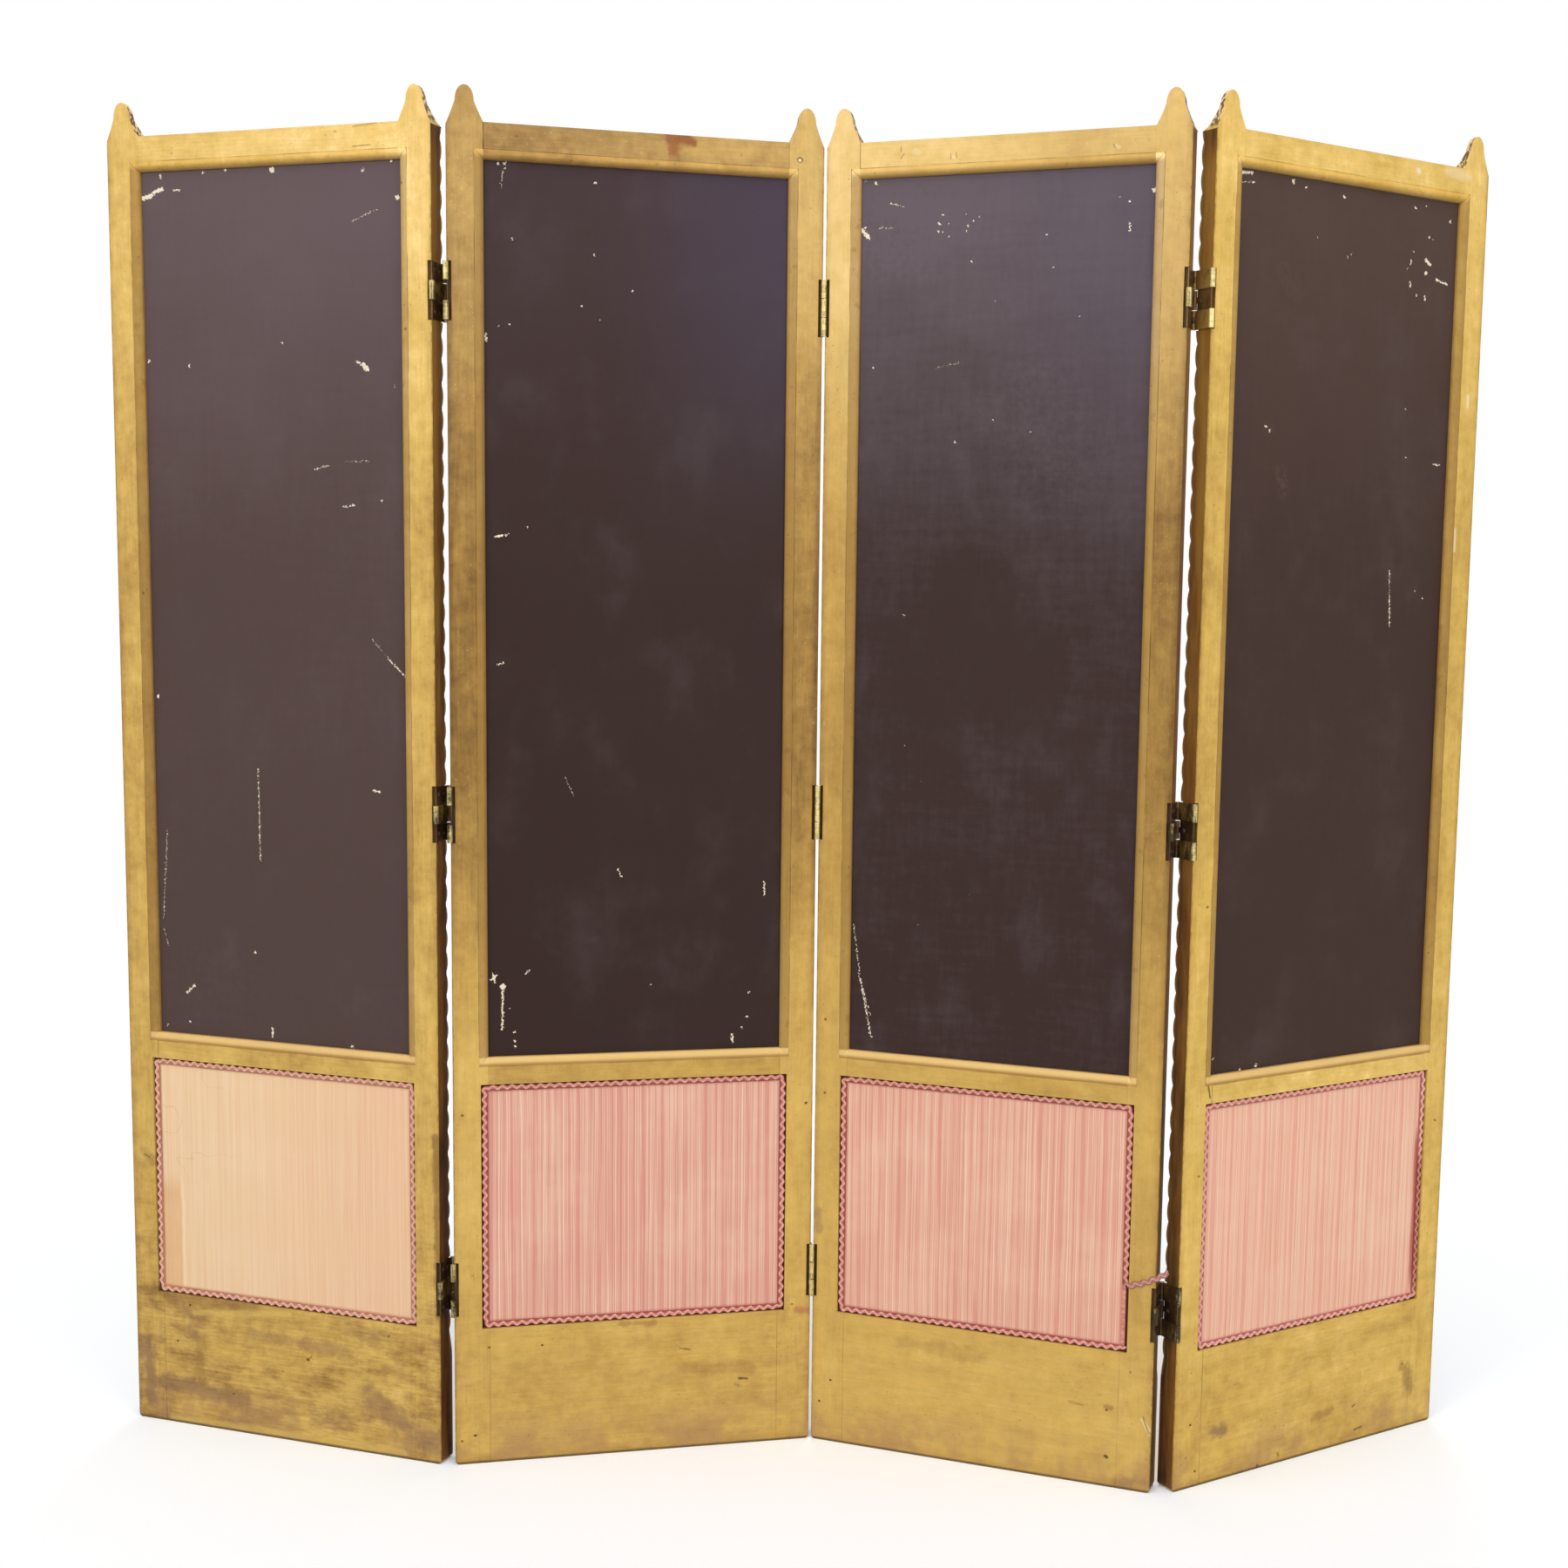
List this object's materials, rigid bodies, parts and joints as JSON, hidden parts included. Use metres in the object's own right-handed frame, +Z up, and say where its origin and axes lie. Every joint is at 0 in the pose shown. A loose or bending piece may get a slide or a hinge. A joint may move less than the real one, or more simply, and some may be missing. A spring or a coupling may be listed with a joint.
{
  "type": "mirrored folding screen",
  "caption": "Giltwood folding screen with tall mirrors over cloth-covered panels, hinged to fold both into a zigzag and flat.",
  "frame": {"origin": "centre of the bounding box at floor level, with the screen standing in its zigzag", "axes": "+Z up; +X along the screen, from the first panel to the fourth; +Y towards the carved mirror side, so that the plain back faces -Y"},
  "size_m": [1.943, 0.3115, 1.8965],
  "materials": {
    "gilt_wood": "worn gold paint on carved wood",
    "mirror_glass": "silvered glass with a dark painted back",
    "board": "plain thin board",
    "striped_cloth": "faded striped furnishing cloth",
    "braid": "scalloped furnishing braid",
    "brass": "aged brass",
    "steel": "plain wire and screws"
  },
  "bodies": {
    "panel_1": {"left_stile_1": "gilt_wood", "right_stile_1": "gilt_wood", "top_rail_1": "gilt_wood", "middle_rail_1": "gilt_wood", "bottom_rail_1": "gilt_wood", "mirror_1": "mirror_glass", "glazing_beads_1": "gilt_wood", "backing_board_1": "board", "cloth_1": "striped_cloth", "braid_1": "braid", "hinge_leaves_1": "brass", "link_plates_1": "brass", "hinge_pins_1": "steel", "leaf_screws_1": "steel"},
    "panel_2": {"left_stile_2": "gilt_wood", "right_stile_2": "gilt_wood", "top_rail_2": "gilt_wood", "middle_rail_2": "gilt_wood", "bottom_rail_2": "gilt_wood", "mirror_2": "mirror_glass", "glazing_beads_2": "gilt_wood", "backing_board_2": "board", "cloth_2": "striped_cloth", "braid_2": "braid", "hinge_leaves_2": "brass", "link_plates_2": "brass", "hinge_pins_2": "steel", "leaf_screws_2": "steel"},
    "panel_3": {"left_stile_3": "gilt_wood", "right_stile_3": "gilt_wood", "top_rail_3": "gilt_wood", "middle_rail_3": "gilt_wood", "bottom_rail_3": "gilt_wood", "mirror_3": "mirror_glass", "glazing_beads_3": "gilt_wood", "backing_board_3": "board", "cloth_3": "striped_cloth", "braid_3": "braid", "hinge_leaves_3": "brass", "link_plates_3": "brass", "hinge_pins_3": "steel", "leaf_screws_3": "steel"},
    "panel_4": {"left_stile_4": "gilt_wood", "right_stile_4": "gilt_wood", "top_rail_4": "gilt_wood", "middle_rail_4": "gilt_wood", "bottom_rail_4": "gilt_wood", "mirror_4": "mirror_glass", "glazing_beads_4": "gilt_wood", "backing_board_4": "board", "cloth_4": "striped_cloth", "braid_4": "braid", "hinge_leaves_4": "brass", "link_plates_4": "brass", "hinge_pins_4": "steel", "leaf_screws_4": "steel"}
  },
  "joints": [
    {"name": "fold_12", "type": "hinge", "parent": "panel_2", "child": "panel_1", "pos_m": [-0.4753, -0.06307, 0.928], "axis": [0, 0, -1], "range_deg": [-30.5, 148.5]},
    {"name": "fold_23", "type": "hinge", "parent": "panel_2", "child": "panel_3", "pos_m": [0.03045, 0.01817, 0.928], "axis": [0, 0, -1], "range_deg": [-32.5, 146.5]},
    {"name": "fold_34", "type": "hinge", "parent": "panel_3", "child": "panel_4", "pos_m": [0.52423, -0.11808, 0.928], "axis": [0, 0, 1], "range_deg": [-52, 127]}
  ]
}
